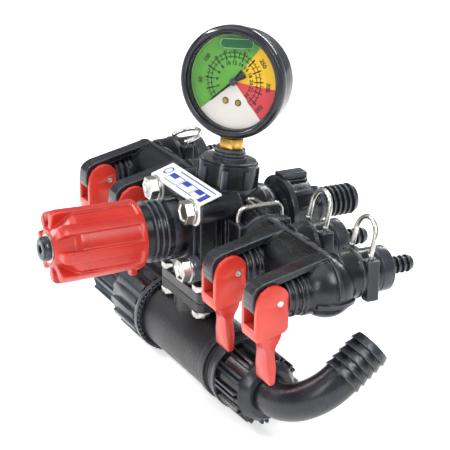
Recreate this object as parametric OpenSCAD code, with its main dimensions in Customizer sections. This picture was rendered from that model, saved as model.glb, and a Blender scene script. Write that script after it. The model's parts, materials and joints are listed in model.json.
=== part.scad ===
// Manual control unit for a small field sprayer: a pressure regulator with its
// gauge, four lever valves on two side manifolds and an inlet filter below.
// The knob points along -Y, the manifolds run along X and the gauge stands up.

/* [Regulator] */
// Radius of the pressure knob at its rear rim
knob_r = 22.8; // [22:0.2:24]
// Number of ribs around the knob
knob_ribs = 8; // [6:1:10]
// Travel of the adjusting screw from fully open to fully closed
screw_travel = 6; // [2:1:6]
// Distance of the flange bolts from the knob axis, sideways
bolt_x = 25; // [24:0.5:26]

/* [Gauge] */
// Outer radius of the gauge bezel
bezel_r = 34.5; // [33:0.5:35]
// Height of the dial centre along the tower, measured from the knob axis
dial_z = 88.3; // [88:0.1:92]
// Turn of the gauge face towards +X
face_turn = 36.7; // [0:0.1:45]
// Backward lean of the gauge tower
tower_lean = 6.8; // [0:0.1:8]

/* [Valves] */
// Distance of the inner levers from the middle of the unit
first_valve = 68.45; // [67:0.05:70]
// Distance between two levers on one manifold
valve_pitch = 50; // [46:0.5:52]
// Radius of a manifold body
manifold_r = 17.5; // [16.5:0.25:18]
// Lift of a plunger over the full lever swing
plunger_lift = 6; // [4:0.5:6]
// Radius at the crest of an outlet barb
outlet_barb_r = 5.2; // [4.6:0.1:5.4]

/* [Filter and hoses] */
// Outer radius of the filter body
filter_r = 22; // [21:0.5:22]
// Radius at the crest of the inlet and bypass barbs
hose_barb_r = 10.25; // [9.5:0.25:10.5]
// Radius over the rings of the inlet elbow's hose barb, in mm
inlet_barb_r = 12.5; // [12:0.25:12.75]
// Angle of the inlet elbow's outlet above the horizontal
elbow_up = 38.7; // [20:0.1:60]

/* [Hidden] */
$fn = 64;
// The row's origin is the middle of the bracket pad on the back of the body.
pad_y = 17;
pad_z = -26;
pad_hole_x = 20;
pad_hole_r = 4;
pad_hole_deep = 16;

valve_xs = [-first_valve - valve_pitch, -first_valve, first_valve, first_valve + valve_pitch];

// heights and depths that several sub-parts share, before the origin is moved
port_r = 14.5;
port_x = 45;
gallery_z = -1.5;
gallery_y = -3;
bolt_z = 18.3;
flange_back = -31;
flange_front = -38.5;
flange_front_low = -41.5;
plate_t = 1;
saddle_z = -42;
saddle_t = 7;
filter_y = -24;
filter_z = -74;
filter_left = -66;
filter_right = 64;
saddle_bolt_x = 22;
saddle_bolt_dy = 8;
knob_back = -66;
knob_front = -122;
chamber_r = 13;
seat_y = 8;
screw_r = 5;
clip_y = 14.6;
wire_r = 1.5;
tower_y = -3.9;
tower_z = 24;
case_r = 30.9;
well_r = 28.9;
dial_front = 6.2;
dial_screw_x = 4.2;
dial_screw_y = -12.4;
zero_angle = 225;
run = 0.05;
gap = 0.3;
outlet_z = 2.8;
outlet_back = 37;
outlet_end = 54.6;
clip_back = 21;
lever_y = -35.4;
lever_z = -3.5;
lever_half = 9;
lever_slot = 6;
pin_r = 2;
neck_front = -30.2;
stem_r = 4.5;
crest_land = 0.6;
cam_rate = plunger_lift / (PI / 2);
cam_base = neck_front - lever_y - gap;
elbow_r = 33;
elbow_x = 100;
elbow_tube_r = 11.3;

// Moves everything so that the bracket pad's middle is the origin.
module placed() {
    translate([0, -pad_y, -pad_z]) children();
}

// Round bars along each axis, from one coordinate to another.
module bar_x(r, x0, x1, y = 0, z = 0) {
    translate([x0, y, z]) rotate([0, 90, 0]) cylinder(r = r, h = x1 - x0);
}
module bar_y(r, y0, y1, x = 0, z = 0) {
    translate([x, y0, z]) rotate([-90, 0, 0]) cylinder(r = r, h = y1 - y0);
}
module bar_z(r, z0, z1, x = 0, y = 0) {
    translate([x, y, z0]) cylinder(r = r, h = z1 - z0);
}

// A box between two opposite corners.
module block(lo, hi) {
    translate(lo) cube(hi - lo);
}

// A rectangle with round corners, drawn about its middle.
module round_rect(w, h, r) {
    square([w - 2 * r, h], center = true);
    square([w, h - 2 * r], center = true);
    for (sx = [-1, 1], sy = [-1, 1])
        translate([sx * (w / 2 - r), sy * (h / 2 - r)]) circle(r);
}

// Slabs with round corners, along Y and along Z.
module slab_y(w, h, r, y0, y1, x = 0, z = 0) {
    translate([x, y1, z]) rotate([90, 0, 0]) linear_extrude(y1 - y0) round_rect(w, h, r);
}
module slab_z(w, d, r, z0, z1, x = 0, y = 0) {
    translate([x, y, z0]) linear_extrude(z1 - z0) round_rect(w, d, r);
}

// A solid of revolution about +Z from radius and height pairs, turned to lie along +Y or +X.
module turned(points) {
    rotate_extrude() polygon(points);
}
module turned_y(points) {
    rotate([-90, 0, 0]) turned(points);
}
module turned_x(points) {
    rotate([0, 90, 0]) turned(points);
}

// Evenly spaced copies around +Z.
module around(count, start = 0) {
    for (i = [0:count - 1]) rotate([0, 0, start + i * 360 / count]) children();
}

// A hexagon with a given distance across flats.
module hexagon(flats) {
    circle(r = flats / 2 / cos(30), $fn = 6);
}

// Hose barb along +Z: a tube with saw teeth, each crest a short land at radius r.
module barb(r, root, bore, length, teeth) {
    pitch = length / teeth;
    outline = concat(
        [[bore, 0]],
        [for (i = [0:teeth - 1], k = [0:2])
            k == 0 ? [r, i * pitch] : k == 1 ? [r, i * pitch + crest_land] : [root, (i + 1) * pitch]],
        [[bore, length]]
    );
    turned(outline);
}

// Round rubber ring about +Z.
module o_ring(r, wire) {
    rotate_extrude() translate([r, 0]) circle(wire, $fn = 32);
}

// Spring clip of bent wire: two legs down and an arch over the top, in the XZ plane.
module wire_clip(half, leg, wire) {
    for (s = [-1, 1]) translate([s * half, 0, -leg]) cylinder(r = wire, h = leg, $fn = 24);
    rotate([90, 0, 0]) rotate_extrude(angle = 180) translate([half, 0]) circle(wire, $fn = 24);
}

// ---- regulator body and its pressure chamber

module main_body() placed() color("#1b1c1f") difference() {
    union() {
        slab_y(62, 50, 9, flange_back - 6, flange_back + 5);
        slab_y(52, 44, 14, flange_back, 13);
        for (sx = [-1, 1], sz = [-1, 1])
            bar_y(8.4, flange_back - 6, -10, sx * bolt_x, sz * bolt_z);
        block([-30, -20, -12], [30, 11, 12]);
        bar_x(17.5, -44, 44, 0, gallery_z);
        for (s = [-1, 1]) slab_y(14, 14, 2, -17.6, 17.6, s * 37, 4);
        tower() bar_z(18, 6, 20);
        tower() bar_z(14.5, 19, 25);
        bypass_neck();
        column();
        bracket_pad();
    }
    bar_y(chamber_r, flange_back - 9, seat_y);
    bar_y(12, seat_y - 1, seat_y + 5);
    bar_y(8, seat_y, 42);
    bar_x(9, -46, 46, 0, gallery_z);
    for (s = [-1, 1]) bar_x(14.1, min(s * 30, s * 46), max(s * 30, s * 46), 0, gallery_z);
    tower() bar_z(3, 0, 26);
    bar_z(8, saddle_z - 1, -5, 0, filter_y);
    for (sx = [-1, 1], sz = [-1, 1]) bar_y(4, -40, -14, sx * bolt_x, sz * bolt_z);
    for (sx = [-1, 1], sy = [-1, 1])
        bar_z(3.2, saddle_z - 1, saddle_z + saddle_t + 1, sx * saddle_bolt_x,
            filter_y + sy * saddle_bolt_dy);
    for (s = [-1, 1])
        bar_y(pad_hole_r, pad_y - pad_hole_deep, pad_y + 1, s * pad_hole_x, pad_z);
    for (s = [-1, 1], sy = [-1, 1])
        bar_z(wire_r + 0.1, -14, 14, s * 36.4, sy * clip_y);
    for (sx = [-1, 1])
        bar_z(7, saddle_z + saddle_t, -29, sx * saddle_bolt_x, filter_y + saddle_bolt_dy);
    tower() difference() {
        bar_z(20, 20.2, 30);
        bar_z(14.5, 20, 31);
    }
    plate_room();
}

// Room under and above the sloping label plate.
module plate_room() {
    translate([34, 0, 0]) rotate([90, 0, -90]) linear_extrude(68)
        polygon([[38.5, 23.95], [24, 28.57], [24, 40], [38.5, 40]]);
}

// The gauge tower's own frame, leaning back about the top of its boss.
module tower() {
    translate([0, tower_y, tower_z]) rotate([-tower_lean, 0, 0]) translate([0, 0, -tower_z]) children();
}

// Bulged neck behind the chamber, with the big round flange that the bypass nut meets.
module bypass_neck() {
    translate([0, 10, 0]) turned_y([[0, 0], [20, 0], [20, 6], [19, 12], [16.5, 18], [16.5, 22], [0, 22]]);
    bar_y(14, 31, 40);
}

// Column down to the flange that carries the filter.
module column() {
    slab_z(34, 24, 6, saddle_z + 1, -14, 0, filter_y + 1);
    slab_z(58, 25, 5, saddle_z, saddle_z + saddle_t, 0, filter_y);
    block([-2, filter_y - 12, saddle_z + 5], [2, 8, -16]);
}

// Pad with two tapped holes that takes the bracket.
module bracket_pad() {
    slab_y(56, 16, 4, -14, pad_y, 0, pad_z);
    for (x = [-27, -6, 3, 24]) block([x, -14, pad_z + 6], [x + 3, pad_y - 4, -12]);
}

// Bonnet: bolted flange, threaded neck and the sleeve that guides piston and spring.
module regulator_bonnet() placed() color("#1b1c1f") difference() {
    union() {
        slab_y(50, 50, 16, flange_front, flange_back - 6);
        for (sx = [-1, 1], s = [0, 1]) {
            sz = s == 0 ? -1 : 1;
            front = s == 0 ? flange_front_low : flange_front;
            bar_y(8.4, front, flange_back - 6, sx * bolt_x, sz * bolt_z);
        }
        bar_y(18.4, -47, flange_front);
        for (y = [-59.6, -55.8, -52]) bar_y(19, y, y + 1.2);
        bar_y(17.6, -59.7, -46);
        for (z = [-1, 1]) slab_y(5, 3, 1, -47, flange_front, 0, z * 18.6);
        bar_y(16.4, -101, -59);
    }
    bar_y(chamber_r, -98.5, flange_back);
    bar_y(screw_r + run, -102, -98);
    for (sx = [-1, 1], sz = [-1, 1]) bar_y(4, -45, -30, sx * bolt_x, sz * bolt_z);
    plate_room();
}

// Red knob: hollow drum with broad ribs that end as fins on a conical nose.
module pressure_knob() placed() color("#dc3b34") {
    back = -knob_back;
    tip = -knob_front;
    difference() {
        rotate([90, 0, 0]) union() {
            turned([[0, back], [20.8, back], [21.5, back + 0.8], [21.5, back + 3], [20.5, back + 4],
                [20.6, tip - 14], [19.4, tip - 10.5], [11.4, tip - 0.6], [11, tip], [0, tip]]);
            around(knob_ribs) knob_rib();
        }
        bar_y(17, knob_front + 13.5, knob_back + 1);
        bar_y(screw_r + 0.1, knob_front - 1, knob_front + 15);
    }
    translate([0, knob_back, -22]) rotate([90, 0, 0]) linear_extrude(4) round_rect(6, 8.4, 1.5);
}

// One rib: it runs along the drum and stands up as a fin over the nose.
module knob_rib() {
    back = -knob_back;
    tip = -knob_front;
    rotate([0, 0, -9]) rotate_extrude(angle = 18)
        polygon([[17.4, back + 2.5], [21.6, back + 2.5], [knob_r, tip - 6], [knob_r - 0.3, tip - 3],
            [knob_r - 1.6, tip - 1.6], [12.4, tip - 0.9], [12.4, tip - 4], [16, tip - 10], [17.4, tip - 13]]);
}

module knob_cap() placed() color("#202124") difference() {
    union() {
        bar_y(7.5, knob_front - 4.2, knob_front - 0.6);
        bar_y(6.7, knob_front - 5.2, knob_front - 4);
    }
    bar_y(screw_r, knob_front - 3.4, knob_front);
    translate([0, knob_front - 2, 0]) rotate([90, 0, 0]) linear_extrude(5) hexagon(5);
}

module knob_washer() placed() color("#c9c9c4") difference() {
    bar_y(8.8, knob_front - 0.6, knob_front);
    bar_y(screw_r + 0.1, knob_front - 1, knob_front + 1);
}

module adjusting_screw() placed() color("#b9bcbe") {
    bar_y(screw_r, knob_front - 2, -99);
    bar_y(3.4, -100, -98.8);
}

// Round wire along a helix about the knob axis, as one closed tube.
module pressure_spring() placed() color("#8d9194") {
    turns = 8;
    coil_r = 10.1;
    wire = 1.25;
    y0 = -93.4;
    y1 = -45.6;
    steps = 18 * turns;
    sides = 8;
    points = [for (i = [0:steps], k = [0:sides - 1])
        let (a = 360 * turns * i / steps, b = 360 * k / sides, r = coil_r + wire * cos(b))
            [r * cos(a), y0 + (y1 - y0) * i / steps + wire * sin(b), r * sin(a)]];
    skin = [for (i = [0:steps - 1], k = [0:sides - 1])
        let (n = (k + 1) % sides, a = i * sides) [a + k, a + n, a + sides + n, a + sides + k]];
    ends = [[for (k = [sides - 1:-1:0]) k], [for (k = [0:sides - 1]) steps * sides + k]];
    polyhedron(points, concat(skin, ends), convexity = 10);
}

module spring_plate() placed() color("#b9bcbe") difference() {
    union() {
        bar_y(12.6, -98.2, -95.2);
        bar_y(8.3, -96, -90);
    }
    bar_y(5.5, -93, -89);
}

// Piston with its stem and the valve disc that closes the bypass seat.
module regulator_piston() placed() color("#c8a24a") difference() {
    union() {
        bar_y(chamber_r - run, -44, -36);
        bar_y(8.3, -48, -43);
        bar_y(4, -37, 5);
        bar_y(9.2, 3.2, seat_y - gap);
    }
    translate([0, -40, 0]) rotate([90, 0, 0]) difference() {
        cylinder(r = 14, h = 3.2, center = true);
        cylinder(r = 10.6, h = 4, center = true);
    }
}

module piston_ring() placed() color("#111111")
    translate([0, -40, 0]) rotate([90, 0, 0]) o_ring(11.75, 1.15);

module valve_seat() placed() color("#c8a24a") difference() {
    bar_y(12, seat_y, seat_y + 5);
    bar_y(7, seat_y - 1, seat_y + 6);
}

// Four flanged hexagon bolts through bonnet and body.
module bonnet_bolts() placed() color("#c9c5b8")
    for (sx = [-1, 1], s = [0, 1])
        translate([sx * bolt_x, s == 0 ? flange_front_low : flange_front - plate_t, (s == 0 ? -1 : 1) * bolt_z])
            rotate([90, 0, 0]) {
                cylinder(r = 7.9, h = 1.6);
                linear_extrude(6.8) hexagon(13);
                translate([0, 0, -22]) cylinder(r = 4, h = 23);
            }

// Bent sheet plate: a sloping label face and two ears under the upper bolts.
module nameplate() placed() color("#eceae4") {
    ear_back = flange_front;
    ear_front = ear_back - plate_t;
    difference() {
        for (s = [-1, 1]) {
            slab_y(17, 17, 7, ear_front, ear_back, s * bolt_x, bolt_z);
            block([s * bolt_x - 8.5, ear_front, 20], [s * bolt_x + 8.5, ear_back, 24.2]);
        }
        for (s = [-1, 1]) bar_y(4.05, ear_front - 1, ear_back + 1, s * bolt_x, bolt_z);
    }
    translate([33.5, 0, 0]) rotate([90, 0, -90]) linear_extrude(67)
        polygon([[39.5, 23.4], [39.5, 24.6], [38.9, 25], [24.4, 29.6], [24.1, 28.6], [38.5, 24]]);
}

// Four bolts and nuts that clamp the filter under the body.
module saddle_bolts() placed() color("#c9c5b8") saddle_places() {
    translate([0, 0, saddle_z + saddle_t]) linear_extrude(4) hexagon(10);
    translate([0, 0, saddle_z - 10.4]) cylinder(r = 3, h = saddle_t + 10.9);
}

module saddle_nuts() placed() color("#c9c5b8") saddle_places() difference() {
    translate([0, 0, saddle_z - 10]) linear_extrude(4) hexagon(10);
    translate([0, 0, saddle_z - 11]) cylinder(r = 3, h = 8);
}

module saddle_places() {
    for (sx = [-1, 1], sy = [-1, 1])
        translate([sx * saddle_bolt_x, filter_y + sy * saddle_bolt_dy, 0]) children();
}

// ---- inlet filter

module along_filter(x = 0) {
    translate([x, filter_y, filter_z]) children();
}

module filter_body() placed() color("#1d1e21") difference() {
    union() {
        bar_x(filter_r, filter_left, 52, filter_y, filter_z);
        bar_x(filter_r + 1, 48, 54, filter_y, filter_z);
        bar_x(filter_r - 1.8, 53, 59, filter_y, filter_z);
        bar_x(filter_r - 0.3, 58, filter_right, filter_y, filter_z);
        bar_x(14, filter_right - 1, 76, filter_y, filter_z);
        bar_z(13, filter_z, -47, 0, filter_y);
        slab_z(58, 25, 5, saddle_z - 6, saddle_z, 0, filter_y);
        for (s = [-1, 1]) block([s * 12 - 1.5, filter_y - 10, filter_z + 17],
            [s * 12 + 1.5, filter_y + 10, -47]);
    }
    bar_x(18.2, filter_left - 1, 58, filter_y, filter_z);
    bar_x(9, 57, 77, filter_y, filter_z);
    bar_z(8, filter_z, -41, 0, filter_y);
    translate([0, filter_y, saddle_z]) difference() {
        cylinder(r = 11.6, h = 3.4, center = true);
        cylinder(r = 9.4, h = 4, center = true);
    }
    saddle_places() translate([0, 0, saddle_z - 7]) cylinder(r = 3.2, h = 8);
}

// Ring nut that clamps the cap: a toothed rim in front and long grip ribs.
module filter_ring_nut() placed() color("#18191c") along_filter() difference() {
    union() {
        bar_x(24.2, -78, -34.5);
        bar_x(25.6, -40, -36);
        rotate([0, -90, 0]) around(48) translate([24.4, 0, 34]) cylinder(r = 1, h = 2.4, $fn = 16);
        rotate([0, -90, 0]) around(16) translate([22, -1.8, 42]) cube([3.7, 3.6, 35]);
    }
    bar_x(filter_r + 0.05, -72, -33);
    bar_x(20.2, -79, -71);
}

// Removable cap with its bowl, long fins and a flat turning grip.
module filter_end_cap() placed() color("#18191c") along_filter() difference() {
    union() {
        bar_x(22, -72, filter_left);
        bar_x(19.8, -122, -71);
        translate([-128, 0, 0]) turned_x([[0, 0], [15, 0], [18.6, 3], [19.8, 7], [0, 7]]);
        rotate([0, -90, 0]) around(12) translate([18, -1.1, 80]) cube([3.6, 2.2, 43]);
        bar_x(21.6, -84, -80);
    }
    bar_x(17, -123, filter_left + 1);
    translate([filter_left, 0, 0]) rotate([0, 90, 0]) difference() {
        cylinder(r = 20.9, h = 3.4, center = true);
        cylinder(r = 19.1, h = 4, center = true);
    }
}

module filter_cartridge() placed() color("#c7cdd0") along_filter() {
    difference() {
        bar_x(15, -122, 57.6);
        bar_x(14, -123, 59);
    }
    for (x = [-122, -64, -4, 54.6]) difference() {
        bar_x(16.6, x, x + 3);
        bar_x(13, x - 1, x + 4);
    }
}

// Seals between cap and filter body, and between filter and regulator body.
module filter_seals() placed() color("#111111") {
    translate([0, filter_y, saddle_z - 0.85]) o_ring(10.5, 0.85);
    along_filter(filter_left - 0.85) rotate([0, 90, 0]) o_ring(20, 0.85);
}

module inlet_union_nut() placed() color("#18191c") along_filter() difference() {
    union() {
        bar_x(19.2, 64.3, 92);
        translate([92, 0, 0]) rotate([0, 90, 0]) cylinder(h = 5, r1 = 19.2, r2 = 15.4);
        bar_x(22.6, 64.3, 67.4);
        rotate([0, 90, 0]) around(12) translate([17.4, 0, 66.5]) {
            translate([0, -2.4, 0]) cube([4.2, 1.5, 25]);
            translate([0, 0.9, 0]) cube([4.2, 1.5, 25]);
        }
    }
    bar_x(14.05, 64, 77);
    bar_x(16.2, 76.5, 84);
    bar_x(elbow_tube_r + 0.1, 83, 98);
}

// Long-radius elbow with the inlet hose barb, built flat and then tipped up.
module inlet_elbow() placed() color("#1d1e21") along_filter() {
    difference() {
        union() {
            bar_x(16, 77.6, 83.8);
            bar_x(elbow_tube_r, 80, elbow_x);
        }
        bar_x(7.75, 77, elbow_x + 1);
    }
    rotate([elbow_up, 0, 0]) translate([elbow_x, elbow_r, 0]) {
        rotate([0, 0, -90]) rotate_extrude(angle = 90) translate([elbow_r, 0]) difference() {
            circle(elbow_tube_r);
            circle(7.75);
        }
        translate([elbow_r, 0, 0]) rotate([-90, 0, 0]) barb(inlet_barb_r, 11.1, 7.75, 26, 5);
    }
}

module inlet_seal() placed() color("#111111") along_filter(76.7) difference() {
    bar_x(13.6, -0.7, 0.9);
    bar_x(9.5, -1, 1);
}

// ---- gauge and its tower

module gauge_union_nut() placed() color("#18191c") tower() difference() {
    union() {
        bar_z(18.2, 20.3, 38);
        bar_z(19.6, 20.3, 24);
        bar_z(17, 37, 39.4);
        around(8, 11) translate([16, -2, 23]) cube([3.4, 4, 12.6]);
    }
    bar_z(14.55, 20, 29);
    bar_z(10.3, 28, 40);
}

module gauge_adapter() placed() color("#232427") tower() difference() {
    union() {
        bar_z(13.8, 25, 29);
        bar_z(10.2, 28, 40);
        for (k = [0:2]) bar_z(10.4 - 0.5 * k, 40.2 + 2.2 * k, 41.5 + 2.2 * k);
        bar_z(9, 39, 46);
    }
    bar_z(6.6, 35, 47);
    bar_z(3, 24, 36);
}

module gauge_stem() placed() color("#c39a4b") difference() {
    union() {
        tower() bar_z(6.55, 35.4, 46.1);
        tower() translate([0, 0, 46.1]) rotate([0, 0, face_turn]) linear_extrude(6.5) hexagon(14);
        tower() bar_z(4.4, 52, 62);
        face_frame() translate([-5, -27, -8]) cube([10, 7, 12]);
    }
    tower() bar_z(1.5, 34, 66);
}

// The gauge's own frame: its face looks along +Z, with +Y up and the stem's axis in Z = 0.
module face_frame() {
    tower() translate([0, 0, dial_z]) rotate([0, 0, face_turn]) rotate([90, 0, 0]) children();
}

module gauge_case() placed() color("#2a2b2e") difference() {
    face_frame() difference() {
        turned([[0, -14], [27, -14], [case_r, -11.5], [case_r, 9.7], [0, 9.7]]);
        translate([0, 0, -12.4]) cylinder(r = well_r, h = 24);
    }
    tower() bar_z(4.45, 50, 64);
    face_frame() rotate([-90, 0, 0]) cylinder(r = 3.55, h = 33);
}

module gauge_bezel() placed() color("#151618") face_frame() turned([
    [case_r + run, 4.6], [33, 4.6], [34.2, 5.2], [bezel_r, 6.2], [bezel_r, 9.4], [33.7, 11], [32.2, 12],
    [30.7, 12], [30, 11.3], [case_r + run, 11.3]]);

module gauge_lens() placed() color("#dfe6ea") face_frame()
    translate([0, 0, 9.8]) cylinder(r = case_r, h = 1.45);

// The four coloured sectors lie on this one printed plate.
module gauge_dial() placed() color("#ece6df") face_frame() difference() {
    translate([0, 0, dial_front - 0.8]) cylinder(r = well_r - 0.1, h = 0.8);
    translate([0, 0, 4]) cylinder(r = 1.8, h = 3);
    for (s = [-1, 1]) translate([s * dial_screw_x, dial_screw_y, 4]) cylinder(r = 0.9, h = 3);
}

module gauge_dial_screws() placed() color("#b98f45") face_frame()
    for (s = [-1, 1]) translate([s * dial_screw_x, dial_screw_y, 0]) {
        translate([0, 0, 3]) cylinder(r = 0.85, h = 3.4);
        translate([0, 0, dial_front]) cylinder(r = 1.5, h = 0.5);
    }

// Pointer: spindle, hub, long needle and a broad counterweight, resting at the zero mark.
module gauge_pointer() placed() color("#151618") face_frame() {
    translate([0, 0, -1]) cylinder(r = 1, h = 8.4, $fn = 32);
    translate([0, 0, dial_front + 0.9]) cylinder(r = 2.4, h = 1.3);
    rotate([0, 0, zero_angle]) translate([0, 0, dial_front + 1.1]) linear_extrude(0.6)
        polygon([[-8.6, -2.9], [-9.4, 0], [-8.6, 2.9], [-1.6, 1.2], [2, 0.8], [19.5, 0.3], [20, 0],
            [19.5, -0.3], [2, -0.8], [-1.6, -1.2]]);
}

// Bourdon tube: a flat arc from the stem block round to its free tip.
module gauge_tube() placed() color("#c39a4b") face_frame()
    rotate([0, 0, -356]) rotate_extrude(angle = 248) translate([21.5, -8]) square([2.4, 8]);

// Movement: two plates on posts, a toothed sector and the mounts for the dial screws.
module gauge_movement() placed() color("#b98f45") face_frame() difference() {
    union() {
        for (z = [-7, 2.4]) translate([-12, -9, z]) cube([24, 16, 1]);
        for (x = [-9, 9]) translate([x, 4, -6.5]) cylinder(r = 1.6, h = 9.4);
        translate([-4, -19.9, -7]) cube([8, 12, 1]);
        translate([0, -5, -3.6]) cylinder(r = 4.5, h = 1.2);
        translate([0, -5, -6.5]) cylinder(r = 0.9, h = 4);
        translate([-10, -15, 2.4]) cube([20, 8, 1]);
        for (s = [-1, 1]) translate([s * dial_screw_x, dial_screw_y, 2.4]) cylinder(r = 2, h = 3);
    }
    translate([0, 0, -2]) cylinder(r = 1 + run, h = 10);
    for (s = [-1, 1]) translate([s * dial_screw_x, dial_screw_y, 2]) cylinder(r = 0.85, h = 5);
}

module gauge_fill_plug() placed() color("#101113") face_frame() rotate([-90, 0, 0]) {
    translate([0, 0, 27.8]) cylinder(r = 3.5, h = 3.3);
    translate([0, 0, case_r + 0.05]) cylinder(r = 4.6, h = 1.3);
}

// ---- bypass outlet at the back

module bypass_tail() placed() color("#1d1e21") translate([0, 40.6, 0]) rotate([-90, 0, 0]) {
    difference() {
        union() {
            cylinder(r = 14.5, h = 4);
            cylinder(r = 10.9, h = 21);
            translate([0, 0, 18]) cylinder(r = 11.6, h = 3);
        }
        translate([0, 0, -1]) cylinder(r = 7, h = 23);
    }
    translate([0, 0, 21]) barb(hose_barb_r - 0.12, 8.4, 7, 26, 7);
}

module bypass_nut() placed() color("#18191c") difference() {
    union() {
        bar_y(22.4, 32.3, 36);
        bar_y(20.4, 35, 50);
        translate([0, 50, 0]) rotate([90, 0, 0]) around(12, 15)
            translate([19, -1.6, 0]) cube([2.6, 3.2, 15]);
        slab_y(10, 5, 1, 33, 50.5, 0, 22);
    }
    bar_y(14.05, 32, 41);
    bar_y(14.7, 40, 44.6);
    bar_y(11.1, 44, 51);
}

module bypass_seal() placed() color("#111111") translate([0, 39.4, 0]) difference() {
    bar_y(13.2, 0.6, 1.2);
    bar_y(8.4, 0, 2);
}

// ---- side manifolds, each with two lever valves

// One manifold, drawn for the +X side.
module manifold() color("#1b1c1f") difference() {
    union() {
        bar_x(14, 30.6, 46, 0, gallery_z);
        bar_x(17.5, 44.4, 51, 0, gallery_z);
        manifold_shell(manifold_r);
        // moulding seam that runs over the top and down the domed end
        intersection() {
            manifold_shell(manifold_r + 1.7);
            block([53, gallery_y - 1.2, -3], [150, gallery_y + 1.2, 30]);
        }
        intersection() {
            manifold_shell(manifold_r + 1.5);
            block([104, gallery_y - 12, -9], [150, gallery_y + 12, -6]);
        }
        for (i = [0, 1]) translate([first_valve + i * valve_pitch, 0, 0]) valve_body();
    }
    // grooves in the spigot: one for the seal and one for the clip
    difference() {
        for (x = [[32, 34.1], [34.8, 38]]) bar_x(15, x[0], x[1], 0, gallery_z);
        bar_x(11.9, 31, 34.5, 0, gallery_z);
        bar_x(13, 34.3, 39, 0, gallery_z);
    }
    bar_x(9, 30, first_valve + valve_pitch, 0, gallery_z);
    for (i = [0, 1]) translate([first_valve + i * valve_pitch, 0, 0]) valve_bores();
}

// Outer form of the manifold: a round body with a domed end.
module manifold_shell(r) {
    end_x = first_valve + valve_pitch + 1.5;
    bar_x(r, 50, end_x, gallery_y, gallery_z);
    translate([end_x, gallery_y, gallery_z]) sphere(r);
}

module valve_body() {
    // stem guide in front with its two rings
    bar_y(10.6, neck_front, -12, 0, lever_z);
    for (y = [-27, -22.6]) bar_y(11.8, y, y + 1.8, 0, lever_z);
    bar_y(12.4, -20, -12, 0, lever_z);
    // guide strap over the lever
    translate([-5.5, 0, 0]) strap_profile(11);
    // socket for the outlet tail, with bosses for its clip
    bar_y(14, 4, 17, 0, outlet_z);
    bar_y(14.6, 14.6, 16, 0, outlet_z);
    bar_y(13.2, 12, 28.4, 0, outlet_z);
    for (s = [-1, 1]) slab_z(7, 8, 1.2, -10, 13.6, s * 11, clip_back);
}

// Side outline of the strap: it slopes to the front and hooks down.
module strap_profile(width) {
    rotate([90, 0, 90]) linear_extrude(width) difference() {
        polygon([[-4, 10], [-4, 17.4], [-44.5, 8.6], [-48.4, 6.6], [-50.9, 3.4], [-51.4, -0.5],
            [-51.4, -5.5], [-50.4, -8], [-48.6, -8.6], [-47.4, -7], [-47.4, 0.4], [-46, 3], [-43, 4.4],
            [-11.8, 12]]);
        for (z = [-1.6, -4.1, -6.6]) translate([-52, z]) square([1.3, 0.6]);
    }
}

module valve_bores() {
    bar_y(stem_r + run, neck_front - 1, -5, 0, lever_z);
    bar_y(9.2, -8, 9, 0, lever_z);
    bar_y(5.5, 8, 14, 0, lever_z);
    bar_y(9.05, 12.5, 32, 0, outlet_z);
    for (s = [-1, 1]) bar_z(1.55, -12, 15, s * 10, clip_back);
}

module manifold_left() placed() mirror([1, 0, 0]) manifold();
module manifold_right() placed() manifold();

// Clips that hold the manifolds in the body's side ports: two legs, a bar across
// the top and a pull loop that lies flat over the body.
module manifold_clips() placed() color("#c4c2bb") for (s = [-1, 1]) translate([s * 36.4, 0, 13]) {
    bend = 5;
    reach = 10.5;
    for (sy = [-1, 1]) {
        translate([0, sy * clip_y, -25]) cylinder(r = wire_r, h = 26.5, $fn = 24);
        translate([0, sy * (clip_y - bend), 1.5]) rotate([90, 0, 90]) rotate([0, 0, sy > 0 ? 0 : 90])
            rotate_extrude(angle = 90) translate([bend, 0]) circle(wire_r, $fn = 24);
        translate([-s * reach, sy * 2.6, 1.5 + bend]) rotate([0, 90, 0])
            translate([0, 0, s > 0 ? 0 : -reach]) cylinder(r = wire_r * 0.8, h = reach, $fn = 24);
    }
    translate([0, -clip_y + bend, 1.5 + bend]) rotate([-90, 0, 0])
        cylinder(r = wire_r, h = 2 * (clip_y - bend), $fn = 24);
    translate([-s * reach, 0, 1.5 + bend]) rotate([0, 0, s * 90]) rotate_extrude(angle = 180)
        translate([2.6, 0]) circle(wire_r * 0.8, $fn = 24);
}

module manifold_seals() placed() color("#111111")
    for (s = [-1, 1]) translate([s * 33.05, 0, gallery_z]) rotate([0, 90, 0]) o_ring(12.95, 1.05);

// Outlet hose tail: a spigot in the socket, a collar and a small barb.
module outlet_tail(i) placed() color("#1d1e21") translate([valve_xs[i], 16.5, outlet_z]) rotate([-90, 0, 0]) {
    difference() {
        union() {
            cylinder(r = 9, h = 12.1);
            translate([0, 0, 12]) turned([[0, 0], [12.7, 0], [13.2, 0.5], [13.2, 7.3], [12, 8.5], [0, 8.5]]);
        }
        difference() {
            translate([0, 0, 2.9]) cylinder(r = 9.5, h = 3.2);
            translate([0, 0, 2.5]) cylinder(r = 8.4, h = 4);
        }
        translate([0, 0, -1]) cylinder(r = 3.2, h = 29);
    }
    translate([0, 0, outlet_back - 16.5 - 0.2]) barb(outlet_barb_r, 3.9, 3.2, outlet_end - outlet_back + 0.2, 5);
}
module outlet_tail_1() outlet_tail(0);
module outlet_tail_2() outlet_tail(1);
module outlet_tail_3() outlet_tail(2);
module outlet_tail_4() outlet_tail(3);

module outlet_clips() placed() color("#c4c2bb") for (x = valve_xs) translate([x, clip_back, 16]) {
    lean = x > 0 ? 14 : 75;
    rise = x > 0 ? 9.5 : 5;
    rotate([-lean, 0, 0]) translate([0, 0, rise]) wire_clip(10, rise, 1.5);
    for (s = [-1, 1]) {
        translate([s * 10, 0, -27]) cylinder(r = 1.5, h = 27, $fn = 24);
        translate([s * 10, 0, -0.1]) sphere(1.75, $fn = 24);
    }
}

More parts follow.
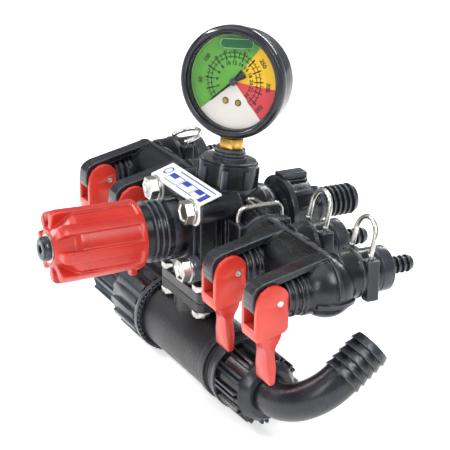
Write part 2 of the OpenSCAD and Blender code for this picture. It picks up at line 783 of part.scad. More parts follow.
module outlet_seals() placed() color("#111111") for (x = valve_xs)
    translate([x, 15.2, outlet_z]) rotate([-90, 0, 0]) difference() {
        cylinder(r = 8.8, h = 1.2);
        translate([0, 0, -1]) cylinder(r = 5.6, h = 3);
    }

// Lever: a fork around the strap and the stem. The back of its head is the involute
// of a circle, so it keeps an even gap to the stem guide while it pulls the stem out.
function cam_point(a) = let (reach = cam_base + cam_rate * a * PI / 180)
    [reach * cos(a) - cam_rate * sin(a), reach * sin(a) + cam_rate * cos(a)];

module lever(i) placed() color("#dc3b34") translate([valve_xs[i], lever_y, lever_z]) {
    head = concat(
        [for (a = [0:9:90]) cam_point(a)],
        [[-7.6, 10], [-11.4, 7.4], [-14, 3.2], [-14.9, -2], [-15, -17], [-14.3, -21], [3, -17.2],
         [cam_base, -14.8], [cam_base, -5]]);
    difference() {
        rotate([90, 0, 90]) linear_extrude(2 * lever_half, center = true) polygon(head);
        block([-lever_slot, -20, -14.2], [lever_slot, 20, 20]);
        bar_x(pin_r, -20, 20);
    }
    intersection() {
        rotate([90, 0, 90]) linear_extrude(2 * lever_half, center = true)
            polygon([[-13.4, -16], [-12.8, -20], [-7.2, -28.5], [-6.7, -31], [-6.6, -39], [-5.8, -47.4],
                [-5, -49.6], [-3, -49.6], [-2, -46.4], [-1.2, -39], [-1.6, -30], [1.4, -16]]);
        rotate([90, 0, 0]) linear_extrude(60, center = true)
            polygon([[9, -16], [8.6, -21], [6.2, -26.4], [5.8, -31], [7.2, -40], [8, -48], [7.2, -49.2],
                [-7.2, -49.2], [-8, -48], [-7.2, -40], [-5.8, -31], [-6.2, -26.4], [-8.6, -21], [-9, -16]]);
    }
}
module lever_1() lever(0);
module lever_2() lever(1);
module lever_3() lever(2);
module lever_4() lever(3);

// Plunger: the stem that the lever pulls, with the disc that closes the outlet.
module plunger(i) placed() color("#c39a4b") translate([valve_xs[i], 0, lever_z]) difference() {
    union() {
        bar_y(stem_r, lever_y - 4.5, 4);
        bar_y(8.6, 3, 7.7);
    }
    bar_x(pin_r, -6, 6, lever_y, 0);
}
module plunger_1() plunger(0);
module plunger_2() plunger(1);
module plunger_3() plunger(2);
module plunger_4() plunger(3);

module lever_pin(i) placed() color("#c9c5b8") difference() {
    bar_x(pin_r - run, valve_xs[i] - 8.8, valve_xs[i] + 8.8, lever_y, lever_z);
    for (s = [-1, 1]) translate([valve_xs[i] + s * 9, lever_y, lever_z]) rotate([0, 90, 0])
        cylinder(r = 1, h = 1, center = true);
}
module lever_pin_1() lever_pin(0);
module lever_pin_2() lever_pin(1);
module lever_pin_3() lever_pin(2);
module lever_pin_4() lever_pin(3);

main_body();
regulator_bonnet();
pressure_knob();
knob_cap();
knob_washer();
adjusting_screw();
pressure_spring();
spring_plate();
regulator_piston();
piston_ring();
valve_seat();
bonnet_bolts();
nameplate();
saddle_bolts();
saddle_nuts();
filter_body();
filter_ring_nut();
filter_end_cap();
filter_cartridge();
filter_seals();
inlet_union_nut();
inlet_elbow();
inlet_seal();
gauge_union_nut();
gauge_adapter();
gauge_stem();
gauge_case();
gauge_bezel();
gauge_lens();
gauge_dial();
gauge_dial_screws();
gauge_pointer();
gauge_tube();
gauge_movement();
gauge_fill_plug();
bypass_tail();
bypass_nut();
bypass_seal();
manifold_left();
manifold_right();
manifold_clips();
manifold_seals();
outlet_tail_1();
outlet_tail_2();
outlet_tail_3();
outlet_tail_4();
outlet_clips();
outlet_seals();
lever_1();
lever_2();
lever_3();
lever_4();
plunger_1();
plunger_2();
plunger_3();
plunger_4();
lever_pin_1();
lever_pin_2();
lever_pin_3();
lever_pin_4();
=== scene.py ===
import bpy
import bmesh
import json
import math
from mathutils import Matrix, Vector


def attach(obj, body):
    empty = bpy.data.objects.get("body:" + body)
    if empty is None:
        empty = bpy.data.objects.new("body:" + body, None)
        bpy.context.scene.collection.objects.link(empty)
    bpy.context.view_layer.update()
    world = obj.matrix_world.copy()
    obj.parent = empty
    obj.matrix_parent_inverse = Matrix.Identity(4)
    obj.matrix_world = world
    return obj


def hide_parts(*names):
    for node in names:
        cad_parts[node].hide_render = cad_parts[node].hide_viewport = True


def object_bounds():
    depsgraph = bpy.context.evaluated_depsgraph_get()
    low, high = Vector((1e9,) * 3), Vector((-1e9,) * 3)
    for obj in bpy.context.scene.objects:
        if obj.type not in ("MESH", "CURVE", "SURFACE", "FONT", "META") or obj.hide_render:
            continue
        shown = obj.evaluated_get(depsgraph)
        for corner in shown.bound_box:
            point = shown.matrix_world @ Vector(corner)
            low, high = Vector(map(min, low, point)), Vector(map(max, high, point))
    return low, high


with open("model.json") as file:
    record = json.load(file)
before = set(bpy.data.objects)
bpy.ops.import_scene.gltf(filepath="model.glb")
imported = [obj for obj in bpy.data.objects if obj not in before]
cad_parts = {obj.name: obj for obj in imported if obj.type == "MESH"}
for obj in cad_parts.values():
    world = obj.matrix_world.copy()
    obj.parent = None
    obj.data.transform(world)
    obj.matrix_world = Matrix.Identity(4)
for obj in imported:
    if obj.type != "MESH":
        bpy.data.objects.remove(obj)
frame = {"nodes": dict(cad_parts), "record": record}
cadLow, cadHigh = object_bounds()
nodes = frame["nodes"]
bodyOfNode = {n: b for b, members in frame["record"]["behaviour"]["bodies"].items() for n in members}
slotOfNode = {s["node"]: s["material_slot"] for s in frame["record"]["subparts"]}
mm = 0.001

# The knob's axis crosses the manifolds' axis here, in the row frame. Sizes below count from it.
unitCentre = Vector((0, -17, 26)) * mm


def at(x, y, z):
    return unitCentre + Vector((x, y, z)) * mm


# camera: place in mm, the three directions of its view, and lens in mm on a 36 mm frame
camera = {"place": (840.5, -437.6, 344.2), "right": (0.4553, 0.8903, 0.0080),
          "up": (-0.3113, 0.1507, 0.9383), "back": (0.8342, -0.4296, 0.3458), "lens": 129.4}
# floor in metres and its drop below the unit in mm; strips are (place, size) in mm and watts
studio = {"floorSize": 9.0, "floorDrop": 1.0, "skyColour": (0.96, 0.975, 1.0, 1), "skyStrength": 0.34,
          "sunStrength": 1.3, "sunAngle": 60, "sunTilt": (18, -14),
          "strips": [("keyStrip", (-320, -560, 560), (420, 80), 3.6),
                     ("rightStrip", (560, 60, 520), (70, 420), 3.0),
                     ("backStrip", (-260, 560, 420), (520, 60), 2.8),
                     ("frontStrip", (420, -560, 260), (40, 320), 1.2)]}


def makeCamera(c):
    data = bpy.data.cameras.new("productCamera")
    data.lens = c["lens"]
    data.sensor_width = 36
    data.clip_start, data.clip_end = 0.05, 20
    holder = bpy.data.objects.new("productCamera", data)
    bpy.context.scene.collection.objects.link(holder)
    axes = Matrix((c["right"], c["up"], c["back"])).transposed().to_4x4()
    holder.matrix_world = Matrix.Translation(at(*c["place"])) @ axes
    bpy.context.scene.camera = holder


def makeStudio(s):
    world = bpy.data.worlds.new("softStudio")
    bpy.context.scene.world = world
    world.use_nodes = True
    world.node_tree.nodes["Background"].inputs[0].default_value = s["skyColour"]
    world.node_tree.nodes["Background"].inputs[1].default_value = s["skyStrength"]
    sun = bpy.data.lights.new("skySun", "SUN")
    sun.energy = s["sunStrength"]
    sun.angle = math.radians(s["sunAngle"])
    holder = bpy.data.objects.new("skySun", sun)
    holder.rotation_euler = (*(math.radians(a) for a in s["sunTilt"]), 0)
    bpy.context.scene.collection.objects.link(holder)
    for name, place, size, power in s["strips"]:
        data = bpy.data.lights.new(name, "AREA")
        data.shape = "RECTANGLE"
        data.size, data.size_y = size[0] * mm, size[1] * mm
        data.energy = power
        lamp = bpy.data.objects.new(name, data)
        lamp.location = at(*place)
        lamp.rotation_euler = (at(0, 0, 0) - lamp.location).to_track_quat("-Z", "Y").to_euler()
        bpy.context.scene.collection.objects.link(lamp)
    half = s["floorSize"] / 2
    mesh = bpy.data.meshes.new("paleFloor")
    low = cadLow.z - s["floorDrop"] * mm
    mesh.from_pydata([(x * half, y * half, low) for x, y in ((-1, -1), (1, -1), (1, 1), (-1, 1))], [], [(0, 1, 2, 3)])
    floor = bpy.data.objects.new("paleFloor", mesh)
    bpy.context.scene.collection.objects.link(floor)
    floor.data.materials.append(paintedFloor())


def linear(hexColour):
    def channel(c):
        c = c / 255
        return c / 12.92 if c <= 0.04045 else ((c + 0.055) / 1.055) ** 2.4
    return tuple(channel(int(hexColour[i:i + 2], 16)) for i in (1, 3, 5)) + (1,)


def startMaterial(name):
    m = bpy.data.materials.new(name)
    m.use_nodes = True
    tree = m.node_tree
    shader = tree.nodes["Principled BSDF"]
    return m, tree, shader


def addNode(tree, kind, settings=None, links=None):
    # settings are node properties or input values; links go from a socket to an input
    node = tree.nodes.new(kind)
    for key, value in (settings or {}).items():
        if isinstance(key, str) and hasattr(node, key):
            setattr(node, key, value)
        else:
            node.inputs[key].default_value = value
    for key, source in (links or {}).items():
        tree.links.new(source, node.inputs[key])
    return node


def ramp(tree, source, stops):
    node = addNode(tree, "ShaderNodeValToRGB", {}, {"Fac": source})
    band = node.color_ramp
    while len(band.elements) < len(stops):
        band.elements.new(0.5)
    for element, (place, colour) in zip(band.elements, stops):
        element.position = place
        element.color = colour
    return node.outputs["Color"]


def grey(v):
    return (v, v, v, 1)


def mouldedPlastic(name, base, edgeHighlightAndWear, grain, deep, rough, shine=0.5):
    # even colour, paler edges (a painted highlight on every sharp edge, broken up like rubbed wear),
    # a grain of that many mm from the tool's surface, and faint flow marks, about 14 mm across, in the gloss
    m, tree, shader = startMaterial(name)
    place = addNode(tree, "ShaderNodeTexCoord").outputs["Object"]
    flow = addNode(tree, "ShaderNodeTexNoise", {"Scale": 1 / (14 * mm), "Detail": 3.0, "Roughness": 0.55},
                   {"Vector": place}).outputs["Fac"]
    skin = addNode(tree, "ShaderNodeTexNoise", {"Scale": 1 / (grain * mm), "Detail": 2.0}, {"Vector": place})
    point = addNode(tree, "ShaderNodeNewGeometry").outputs["Pointiness"]
    # paler sharp edges: a painted highlight, broken up by the flow noise as rubbed wear would be
    edge = ramp(tree, point, [(0.5, grey(0)), (0.56, grey(1))])
    breakUp = ramp(tree, flow, [(0.34, grey(0.5)), (0.66, grey(1))])
    edgeHighlightAndWearMask = addNode(tree, "ShaderNodeMath", {"operation": "MULTIPLY"}, {0: edge, 1: breakUp}).outputs[0]
    tone = ramp(tree, flow, [(0.25, linear(base[0])), (0.75, linear(base[1]))])
    colour = addNode(tree, "ShaderNodeMix", {"data_type": "RGBA", 7: linear(edgeHighlightAndWear)}, {0: edgeHighlightAndWearMask, 6: tone}).outputs[2]
    tree.links.new(colour, shader.inputs["Base Color"])
    gloss = ramp(tree, flow, [(0.3, grey(rough[0])), (0.7, grey(rough[1]))])
    tree.links.new(gloss, shader.inputs["Roughness"])
    bump = addNode(tree, "ShaderNodeBump", {"Strength": 1.0, "Distance": deep * mm},
                   {"Height": skin.outputs["Fac"]}).outputs["Normal"]
    tree.links.new(bump, shader.inputs["Normal"])
    shader.inputs["IOR"].default_value = 1.53
    shader.inputs["Specular IOR Level"].default_value = shine
    return m


def plainMetal(name, base, tarnish, rough, scratch, deep):
    # mottled tone from plating or handling, about 3.5 mm across, and fine marks in the surface
    m, tree, shader = startMaterial(name)
    place = addNode(tree, "ShaderNodeTexCoord").outputs["Object"]
    cloud = addNode(tree, "ShaderNodeTexNoise", {"Scale": 1 / (3.5 * mm), "Detail": 4.0}, {"Vector": place})
    marks = addNode(tree, "ShaderNodeTexNoise", {"Scale": 1 / (scratch * mm), "Detail": 2.0}, {"Vector": place})
    colour = ramp(tree, cloud.outputs["Fac"], [(0.3, linear(base)), (0.72, linear(tarnish))])
    tree.links.new(colour, shader.inputs["Base Color"])
    gloss = ramp(tree, cloud.outputs["Fac"], [(0.3, grey(rough[0])), (0.7, grey(rough[1]))])
    tree.links.new(gloss, shader.inputs["Roughness"])
    bump = addNode(tree, "ShaderNodeBump", {"Strength": 0.6, "Distance": deep * mm},
                   {"Height": marks.outputs["Fac"]}).outputs["Normal"]
    tree.links.new(bump, shader.inputs["Normal"])
    shader.inputs["Metallic"].default_value = 1.0
    return m


def paintedFloor():
    # matt painted board, a little bright in itself as a backlit table is
    m, tree, shader = startMaterial("paintedFloor")
    place = addNode(tree, "ShaderNodeTexCoord").outputs["Object"]
    cloud = addNode(tree, "ShaderNodeTexNoise", {"Scale": 3.0, "Detail": 2.0}, {"Vector": place})
    tone = ramp(tree, cloud.outputs["Fac"], [(0.3, linear("#fcfcfb")), (0.7, linear("#fefefe"))])
    tree.links.new(tone, shader.inputs["Base Color"])
    shader.inputs["Roughness"].default_value = 0.9
    tree.links.new(tone, shader.inputs["Emission Color"])
    shader.inputs["Emission Strength"].default_value = 0.55
    return m


def lensGlass():
    # flat instrument glass: clear, with only the shine and faint smears to show it
    m, tree, shader = startMaterial("instrumentGlass")
    place = addNode(tree, "ShaderNodeTexCoord").outputs["Object"]
    smear = addNode(tree, "ShaderNodeTexNoise", {"Scale": 1 / (18 * mm), "Detail": 3.0}, {"Vector": place})
    gloss = ramp(tree, smear.outputs["Fac"], [(0.4, grey(0.02)), (0.75, grey(0.10))])
    tree.links.new(gloss, shader.inputs["Roughness"])
    shader.inputs["Base Color"].default_value = linear("#0c1211")
    shader.inputs["Alpha"].default_value = 0.07
    shader.inputs["IOR"].default_value = 1.5
    m.surface_render_method = "BLENDED"
    return m


# each plastic's edge colour is a painted highlight on its sharp edges, partly wear
plastics = {
    # glass-filled nylon from a smooth tool: deep satin black, paler edges from a painted highlight and some wear
    "glassFilledNylon": {"base": ("#0b0c0e", "#141619"), "edgeHighlightAndWear": "#565c66", "grain": 0.45, "deep": 0.035,
                         "rough": (0.20, 0.34), "shine": 0.36},
    # the filter body's sparked tool leaves a dull pebbled skin; the real pebbles are near
    # 0.4 mm and are drawn coarser so that they show
    # its base, paler than the smooth nylon's, is in part a painted sheen for the light the pebbles catch
    "grainedNylon": {"base": ("#17181b", "#202226"), "edgeHighlightAndWear": "#50545c", "grain": 1.1, "deep": 0.42,
                     "rough": (0.34, 0.46), "shine": 0.4},
    # polypropylene nuts and caps: blacker and smoother than the nylon
    "polypropyleneBlack": {"base": ("#090a0c", "#101215"), "edgeHighlightAndWear": "#4a4f58", "grain": 0.5, "deep": 0.015,
                           "rough": (0.16, 0.28), "shine": 0.36},
    # acetal, moulded in colour: an even red with a slightly waxy gloss
    "redAcetal": {"base": ("#b0231a", "#bc2a20"), "edgeHighlightAndWear": "#cc4031", "grain": 0.5, "deep": 0.012,
                  "rough": (0.26, 0.34)},
    # pressed rubber rings: dull and dark
    "nitrileRubber": {"base": ("#0d0d0d", "#151515"), "edgeHighlightAndWear": "#2a2a2a", "grain": 0.4, "deep": 0.03,
                      "rough": (0.6, 0.75)},
    # enamel stoved on pressed steel: smooth and glossy, with a painted highlight along the edges
    "stovedBlackEnamel": {"base": ("#08090b", "#0e0f12"), "edgeHighlightAndWear": "#4c5058", "grain": 0.6, "deep": 0.01,
                          "rough": (0.12, 0.22), "shine": 0.4},
    # white lacquer on bent sheet: clean, with a low sheen
    "printedWhiteSheet": {"base": ("#ecebe8", "#f4f3f1"), "edgeHighlightAndWear": "#f6f6f4", "grain": 0.5, "deep": 0.005,
                          "rough": (0.25, 0.35)},
    # screen-print inks, laid flat: even satin colours
    "screenPrintWhite": {"base": ("#dcd8d2", "#e4e0da"), "edgeHighlightAndWear": "#e4e0da", "grain": 0.6, "deep": 0.004,
                         "rough": (0.36, 0.46)},
    "screenPrintGreen": {"base": ("#56a038", "#62ab43"), "edgeHighlightAndWear": "#62ab43", "grain": 0.6, "deep": 0.004,
                         "rough": (0.34, 0.44)},
    "screenPrintYellow": {"base": ("#eebd12", "#f6c81e"), "edgeHighlightAndWear": "#f6c81e", "grain": 0.6, "deep": 0.004,
                          "rough": (0.34, 0.44)},
    "screenPrintRed": {"base": ("#cf3942", "#da434b"), "edgeHighlightAndWear": "#da434b", "grain": 0.6, "deep": 0.004,
                       "rough": (0.34, 0.44)},
    "screenPrintBlack": {"base": ("#101110", "#1a1b1a"), "edgeHighlightAndWear": "#1a1b1a", "grain": 0.6, "deep": 0.004,
                         "rough": (0.38, 0.48)},
    "screenPrintBlue": {"base": ("#25379a", "#2e42a8"), "edgeHighlightAndWear": "#2e42a8", "grain": 0.6, "deep": 0.004,
                        "rough": (0.34, 0.44)},
    # the bubble in the filling: painted shade, ringed by a painted highlight where the liquid climbs the glass
    "shadedGlycerine": {"base": ("#12502f", "#1d6a3e"), "edgeHighlightAndWear": "#1d6a3e", "grain": 2.0, "deep": 0.02,
                        "rough": (0.10, 0.22)},
    "paintedMeniscusHighlight": {"base": ("#5f9a6a", "#a8c79c"), "edgeHighlightAndWear": "#a8c79c", "grain": 1.0, "deep": 0.01,
                       "rough": (0.15, 0.25)}}
metals = {
    # zinc plate on cold-formed steel: light grey with a soft mottle
    "zincPlatedSteel": {"base": "#cfcfcb", "tarnish": "#a3a29c", "rough": (0.24, 0.40), "scratch": 0.3, "deep": 0.01},
    # wire drawn through a die: bright and nearly even
    "drawnStainlessWire": {"base": "#dcdbd7", "tarnish": "#b5b3ad", "rough": (0.22, 0.36), "scratch": 0.6,
                           "deep": 0.004},
    # brass turned on a lathe: warm, with darker handled patches
    "turnedBrass": {"base": "#d3ad5c", "tarnish": "#a67f3c", "rough": (0.22, 0.36), "scratch": 0.3, "deep": 0.01}}
materials = {name: mouldedPlastic(name, **look) for name, look in plastics.items()}
materials.update({name: plainMetal(name, **look) for name, look in metals.items()})
materials["instrumentGlass"] = lensGlass()
print("materials made")


def newPiece(name, mesh, finish, node, replaced=()):
    piece = bpy.data.objects.new(name, mesh)
    bpy.context.scene.collection.objects.link(piece)
    mesh.materials.clear()
    mesh.materials.append(materials[finish])
    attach(piece, bodyOfNode[node])
    if replaced:
        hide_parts(*replaced)
    return piece


def evaluated(mesh, modifiers):
    holder = bpy.data.objects.new("holder", mesh)
    bpy.context.scene.collection.objects.link(holder)
    for kind, settings in modifiers:
        modifier = holder.modifiers.new(kind.lower(), kind)
        for key, value in settings.items():
            setattr(modifier, key, value)
    bpy.context.view_layer.update()
    result = bpy.data.meshes.new_from_object(holder.evaluated_get(bpy.context.evaluated_depsgraph_get()))
    bpy.data.objects.remove(holder)
    return result


def smoothShading(mesh, angle=35):
    mesh.shade_smooth()
    mesh.set_sharp_from_angle(angle=math.radians(angle))


def mouldedFrom(node, voxel, rounds, keep, finish):
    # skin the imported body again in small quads, relax them so that every edge and inner
    # corner gets the small radius of a moulding, then drop the quads that flat areas don't need
    mesh = evaluated(nodes[node].data.copy(), [
        ("REMESH", {"mode": "VOXEL", "voxel_size": voxel * mm}),
        ("SMOOTH", {"factor": 0.5, "iterations": rounds}),
        ("DECIMATE", {"ratio": keep})])
    smoothShading(mesh, 50)
    return newPiece(node + "_moulding", mesh, finish, node, replaced=(node,))


# weld distance in mm, and in degrees: how flat a seam is removed, and how sharp an edge is rounded
edgeWork = {"weld": 0.002, "flat": 0.6, "sharp": 28, "segments": 2}


def openNode(node):
    mesh = nodes[node].data.copy()
    work = bmesh.new()
    work.from_mesh(mesh)
    bmesh.ops.remove_doubles(work, verts=work.verts, dist=edgeWork["weld"] * mm)
    bmesh.ops.dissolve_limit(work, angle_limit=math.radians(edgeWork["flat"]), verts=work.verts, edges=work.edges)
    return mesh, work


def roundEdges(mesh, work, width):
    sharp = [e for e in work.edges
             if len(e.link_faces) == 2 and e.calc_face_angle(0) > math.radians(edgeWork["sharp"])]
    bmesh.ops.bevel(work, geom=sharp, offset=width * mm, segments=edgeWork["segments"], profile=0.5,
                    affect="EDGES", clamp_overlap=True)
    work.to_mesh(mesh)
    work.free()
    smoothShading(mesh)


def bevelledFrom(node, width, finish):
    mesh, work = openNode(node)
    roundEdges(mesh, work, width)
    return newPiece(node + "_bevelled", mesh, finish, node, replaced=(node,))


def dishedHeads(node, dish, finish):
    # cold-formed bolt heads: the six-sided top is sunk inside a raised rim
    mesh, work = openNode(node)
    tops = [f for f in work.faces
            if f.normal.y < -0.9 and len(f.verts) == 6 and f.calc_area() > dish["leastArea"] * mm * mm]
    bmesh.ops.inset_individual(work, faces=tops, thickness=dish["rim"] * mm, depth=0)
    bmesh.ops.inset_individual(work, faces=tops, thickness=dish["wall"] * mm, depth=-dish["deep"] * mm)
    roundEdges(mesh, work, dish["edge"])
    print(node, "heads dished:", len(tops))
    return newPiece(node + "_dished", mesh, finish, node, replaced=(node,))


def joined(name, meshes):
    work = bmesh.new()
    for mesh in meshes:
        work.from_mesh(mesh)
    result = bpy.data.meshes.new(name)
    work.to_mesh(result)
    work.free()
    return result


# voxel size in mm, rounds of smoothing, share of faces kept, material
mouldings = {
    "main_body": (0.45, 3, 0.25, "glassFilledNylon"), "manifold_left": (0.4, 2, 0.25, "glassFilledNylon"),
    "manifold_right": (0.4, 2, 0.25, "glassFilledNylon"), "filter_body": (0.55, 3, 0.3, "grainedNylon"),
    "pressure_knob": (0.4, 7, 0.35, "redAcetal")}
coarse = 1.0
for node, (voxel, rounds, keep, finish) in mouldings.items():
    mouldedFrom(node, voxel * coarse, rounds, keep, finish)
print("mouldings made")

# width of the rounded edges in mm, material
bevels = {
    "regulator_bonnet": (0.5, "glassFilledNylon"), "filter_ring_nut": (0.4, "polypropyleneBlack"),
    "filter_end_cap": (0.5, "polypropyleneBlack"), "inlet_union_nut": (0.4, "polypropyleneBlack"),
    "inlet_elbow": (0.25, "glassFilledNylon"), "gauge_union_nut": (0.4, "polypropyleneBlack"),
    "gauge_adapter": (0.25, "glassFilledNylon"), "bypass_nut": (0.4, "polypropyleneBlack"),
    "bypass_tail": (0.25, "glassFilledNylon"), "knob_cap": (0.4, "polypropyleneBlack"),
    "knob_washer": (0.1, "zincPlatedSteel"), "saddle_bolts": (0.3, "zincPlatedSteel"),
    "saddle_nuts": (0.3, "zincPlatedSteel"), "nameplate": (0.15, "printedWhiteSheet"),
    "gauge_stem": (0.3, "turnedBrass"), "gauge_case": (0.4, "stovedBlackEnamel"),
    "gauge_bezel": (0.25, "stovedBlackEnamel")}
for i in range(1, 5):
    bevels[f"lever_{i}"] = (0.4, "redAcetal")
    bevels[f"lever_pin_{i}"] = (0.25, "zincPlatedSteel")
    bevels[f"outlet_tail_{i}"] = (0.25, "glassFilledNylon")
for node, (width, finish) in bevels.items():
    bevelledFrom(node, width, finish)
headDish = {"leastArea": 100, "rim": 1.6, "wall": 0.7, "deep": 1.3, "edge": 0.2}
dishedHeads("bonnet_bolts", headDish, "zincPlatedSteel")
print("bevelled pieces made")

# raised pads on the shoulders of the lever heads: places along x, and the outline
# as (y, z) from the lever's pin
leverPad = {"pivotY": -35.4, "pivotZ": -3.5, "places": (-118.45, -68.45, 68.45, 118.45), "inner": 6.5,
            "outer": 8.5, "edge": 0.25,
            "outline": [(-6.6, 10.9), (-11.9, 7.7), (-13.6, 4.4), (-12.6, 3.8), (-10.9, 6.8), (-6.2, 9.8)]}


def prism(outline, x0, x1, width):
    # outline of (y, z) points swept along x from x0 to x1, with its edges rounded
    work = bmesh.new()
    near = work.faces.new([work.verts.new(at(x0, y, z)) for y, z in outline])
    grown = bmesh.ops.extrude_face_region(work, geom=[near])["geom"]
    moved = [v for v in grown if isinstance(v, bmesh.types.BMVert)]
    bmesh.ops.translate(work, verts=moved, vec=Vector((x1 - x0, 0, 0)) * mm)
    bmesh.ops.bevel(work, geom=list(work.edges), offset=width * mm, segments=2, profile=0.5, affect="EDGES")
    bmesh.ops.recalc_face_normals(work, faces=work.faces)
    mesh = bpy.data.meshes.new("prism")
    work.to_mesh(mesh)
    work.free()
    smoothShading(mesh, 40)
    return mesh


for i, x in enumerate(leverPad["places"], 1):
    outline = [(leverPad["pivotY"] + y, leverPad["pivotZ"] + z) for y, z in leverPad["outline"]]
    pads = [prism(outline, x + s * leverPad["inner"], x + s * leverPad["outer"], leverPad["edge"])
            for s in (-1, 1)]
    newPiece(f"lever_{i}_pads", joined("pads", pads), "redAcetal", f"lever_{i}")
print("lever pads made")

# the gauge's face, in its own frame: x right, y up and z out of the dial
dial = {"height": 88.3, "turn": 36.7, "lean": -6.8, "footY": -3.9, "footZ": 24, "radius": 28.6, "front": 6.2,
        "fields": [("dial_green", 225, 58, "screenPrintGreen"), ("dial_yellow", 58, 0, "screenPrintYellow"),
                   ("dial_red", 0, -45, "screenPrintRed")],
        "fieldLift": 0.05, "inkLift": 0.1, "start": 225, "bars": 25, "perBar": 10.8, "psiPerBar": 14.504,
        "rings": (15.2, 17.6), "ringWidth": 0.5,
        "evenBarTick": (13.3, 19.6, 0.8), "oddBarTick": (14.2, 17.6, 0.5),
        "longPsiTick": (17.6, 19.9, 0.46), "shortPsiTick": (17.6, 18.9, 0.46),
        "barNumber": (11.4, 3.3), "psiNumber": (22.5, 3.8), "thicken": 0.13,
        "screws": (4.2, -12.4), "screwRing": (1.75, 0.7)}


def faceMatrix(d):
    lean = Matrix.Rotation(math.radians(d["lean"]), 4, "X")
    tower = Matrix.Translation(at(0, d["footY"], d["footZ"])) @ lean @ Matrix.Translation((0, 0, -d["footZ"] * mm))
    turn = Matrix.Rotation(math.radians(d["turn"]), 4, "Z") @ Matrix.Rotation(math.radians(90), 4, "X")
    return tower @ Matrix.Translation((0, 0, d["height"] * mm)) @ turn


def spot(radius, angle, z):
    return Vector((radius * math.cos(math.radians(angle)), radius * math.sin(math.radians(angle)), z)) * mm


def flatMesh(name, faces, matrix):
    # faces are lists of points in the face's own frame
    work = bmesh.new()
    for points in faces:
        work.faces.new([work.verts.new(matrix @ p) for p in points])
    mesh = bpy.data.meshes.new(name)
    work.to_mesh(mesh)
    work.free()
    return mesh


def sector(a0, a1, r, z):
    steps = max(2, int(abs(a1 - a0) / 4))
    return [spot(0, 0, z)] + [spot(r, a0 + (a1 - a0) * k / steps, z) for k in range(steps + 1)]


def stroke(angle, r0, r1, width, z):
    across = Vector((-math.sin(math.radians(angle)), math.cos(math.radians(angle)), 0)) * width / 2 * mm
    return [spot(r0, angle, z) - across, spot(r1, angle, z) - across, spot(r1, angle, z) + across,
            spot(r0, angle, z) + across]


def arcBand(a0, a1, r, width, z):
    steps = int(abs(a1 - a0) / 4)
    turns = [a0 + (a1 - a0) * k / steps for k in range(steps + 1)]
    return [[spot(r - width / 2, a, z), spot(r + width / 2, a, z), spot(r + width / 2, b, z),
             spot(r - width / 2, b, z)] for a, b in zip(turns, turns[1:])]


def barAngle(bar):
    return dial["start"] - bar * dial["perBar"]


def numberAt(number, angle, radius, size):
    # a printed number that stands on the scale's circle, its top outwards
    curve = bpy.data.curves.new("dialNumber", "FONT")
    curve.body = str(number)
    curve.size = size * mm
    curve.resolution_u = 2
    curve.align_x, curve.align_y = "CENTER", "CENTER"
    curve.offset = dial["thicken"] * mm
    holder = bpy.data.objects.new("dialNumber", curve)
    bpy.context.scene.collection.objects.link(holder)
    bpy.context.view_layer.update()
    mesh = bpy.data.meshes.new_from_object(holder.evaluated_get(bpy.context.evaluated_depsgraph_get()))
    bpy.data.objects.remove(holder)
    place = Matrix.Translation(spot(radius, angle, inkZ)) @ Matrix.Rotation(math.radians(angle - 90), 4, "Z")
    mesh.transform(face @ place)
    return mesh


face = faceMatrix(dial)
for name, a0, a1, finish in dial["fields"]:
    mesh = flatMesh(name, [sector(a1, a0, dial["radius"], dial["front"] + dial["fieldLift"])], face)
    newPiece(name, mesh, finish, "gauge_dial")
inkZ = dial["front"] + dial["inkLift"]
low, high = dial["start"] - dial["bars"] * dial["perBar"], dial["start"]
marks = [band for r in dial["rings"] for band in arcBand(low, high, r, dial["ringWidth"], inkZ)]
for bar in range(dial["bars"] + 1):
    marks.append(stroke(barAngle(bar), *dial["oddBarTick" if bar % 2 else "evenBarTick"], inkZ))
for psi in range(10, 361, 10):
    tick = dial["shortPsiTick" if psi % 50 else "longPsiTick"]
    marks.append(stroke(barAngle(psi / dial["psiPerBar"]), *tick, inkZ))
# the fine line where the green field ends
marks.append(stroke(dial["start"], 2, dial["radius"], 0.16, inkZ))
# dark rings round the screws, in the black ink
for side in (-1, 1):
    shift = Vector((side * dial["screws"][0], dial["screws"][1], 0)) * mm
    marks += [[p + shift for p in quad] for quad in arcBand(0, 360, *dial["screwRing"], inkZ)]
ink = [flatMesh("dialMarks", marks, face)]
for bar in range(2, 25, 2):
    ink.append(numberAt(bar, barAngle(bar), *dial["barNumber"]))
for psi in range(50, 351, 50):
    ink.append(numberAt(psi, barAngle(psi / dial["psiPerBar"]), *dial["psiNumber"]))
newPiece("dial_ink", joined("dial_ink", ink), "screenPrintBlack", "gauge_dial")

# the air bubble left in a filled gauge, lying level under the glass
bubble = {"centre": (0.2, 23.6), "half": 8.0, "radius": 2.8, "tilt": 8, "z": 8.6, "rim": 0.2, "rimLift": 0.08,
          "endPoints": 13}


def stadium(b, radius, lift=0):
    # a long oval: two half circles joined by straight sides
    ring = []
    for end, start in ((1, -90), (-1, 90)):
        for k in range(b["endPoints"]):
            a = math.radians(start + 180 * k / (b["endPoints"] - 1))
            ring.append(Vector((end * b["half"] + radius * math.cos(a), radius * math.sin(a), lift)) * mm)
    return ring


place = face @ Matrix.Translation(Vector((*bubble["centre"], bubble["z"])) * mm)
place = place @ Matrix.Rotation(math.radians(bubble["tilt"]), 4, "Z")
oval = flatMesh("gauge_bubble", [stadium(bubble, bubble["radius"])], place)
# the oval of painted shade
newPiece("gauge_bubble", oval, "shadedGlycerine", "gauge_dial")
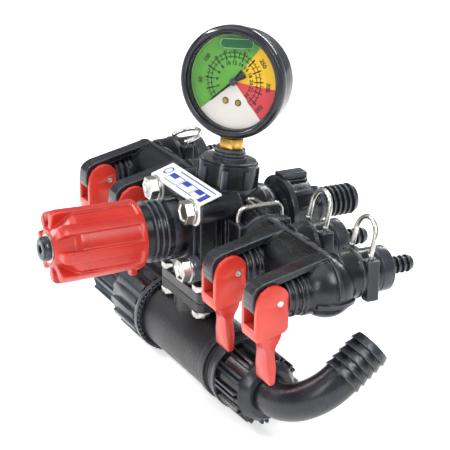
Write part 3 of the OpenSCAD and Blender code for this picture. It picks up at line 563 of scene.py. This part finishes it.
# the rim round the bubble: a thin painted highlight
inner, outer = (stadium(bubble, bubble["radius"] + side * bubble["rim"], bubble["rimLift"]) for side in (-1, 1))
rim = [[inner[k - 1], outer[k - 1], outer[k], inner[k]] for k in range(len(inner))]
newPiece("gauge_bubble_rim", flatMesh("gauge_bubble_rim", rim, place), "paintedMeniscusHighlight", "gauge_dial")
print("gauge face made")

# blue print on the plate's sloping face, in x along the plate and a share of its depth:
# plain panels, no lettering
label = {"front": (38.9, 25.0), "back": (24.4, 29.6), "lift": 0.05, "depth": 15.2,
         "bar": (-17, 31, 0.80, 0.86), "boxes": ((-20, -3.5), (-2.5, 13.5), (14.5, 31)), "boxDepth": (0.10, 0.62),
         "line": 0.7, "filled": 0.55, "fillFrom": 0.36, "endFrom": 25.5, "ring": (-26, 0.55, 2.6, 3.8)}


def onLabel(x, v):
    # x along the plate, v from its front edge (0) to its back edge (1)
    y = label["front"][0] + (label["back"][0] - label["front"][0]) * v
    z = label["front"][1] + (label["back"][1] - label["front"][1]) * v
    return at(x, -y, z + label["lift"])


def panel(x0, x1, v0, v1):
    return [onLabel(x0, v0), onLabel(x1, v0), onLabel(x1, v1), onLabel(x0, v1)]


def frameAround(x0, x1, v0, v1, w):
    h = w / label["depth"]
    return [panel(x0, x1, v0, v0 + h), panel(x0, x1, v1 - h, v1),
            panel(x0, x0 + w, v0, v1), panel(x1 - w, x1, v0, v1)]


def printRing(x, v, inner, outer):
    quads = []
    for k in range(16):
        a, b = math.radians(22.5 * k), math.radians(22.5 * (k + 1))
        corners = ((inner, a), (outer, a), (outer, b), (inner, b))
        quads.append([onLabel(x + r * math.cos(t), v + r / label["depth"] * math.sin(t)) for r, t in corners])
    return quads


v0, v1 = label["boxDepth"]
blue = [panel(*label["bar"]), panel(label["endFrom"], label["boxes"][-1][1], v0, v1)]
for x0, x1 in label["boxes"]:
    blue += frameAround(x0, x1, v0, v1, label["line"])
    blue.append(panel(x0, x0 + (x1 - x0) * label["filled"], label["fillFrom"], v1))
blue += printRing(*label["ring"])
newPiece("label_print", flatMesh("label_print", blue, Matrix()), "screenPrintBlue", "nameplate")
print("label printed")

# finish of each CAD node that stays, and of the hidden ones, by material slot
finishes = {"zinc": "zincPlatedSteel", "brass": "turnedBrass", "spring_steel": "drawnStainlessWire",
            "seal_rubber": "nitrileRubber", "gauge_glass": "instrumentGlass", "white_plate": "printedWhiteSheet",
            "pointer_black": "stovedBlackEnamel", "black_nylon": "glassFilledNylon", "red_plastic": "redAcetal",
            "cap_plastic": "polypropyleneBlack", "gauge_case": "stovedBlackEnamel"}
for node, part in nodes.items():
    finish = "screenPrintWhite" if node == "gauge_dial" else finishes[slotOfNode[node]]
    part.data.materials.clear()
    part.data.materials.append(materials[finish])
print("finishes set")

makeCamera(camera)
makeStudio(studio)
bpy.context.scene.view_settings.view_transform = "Standard"
print("camera, floor and lights set")
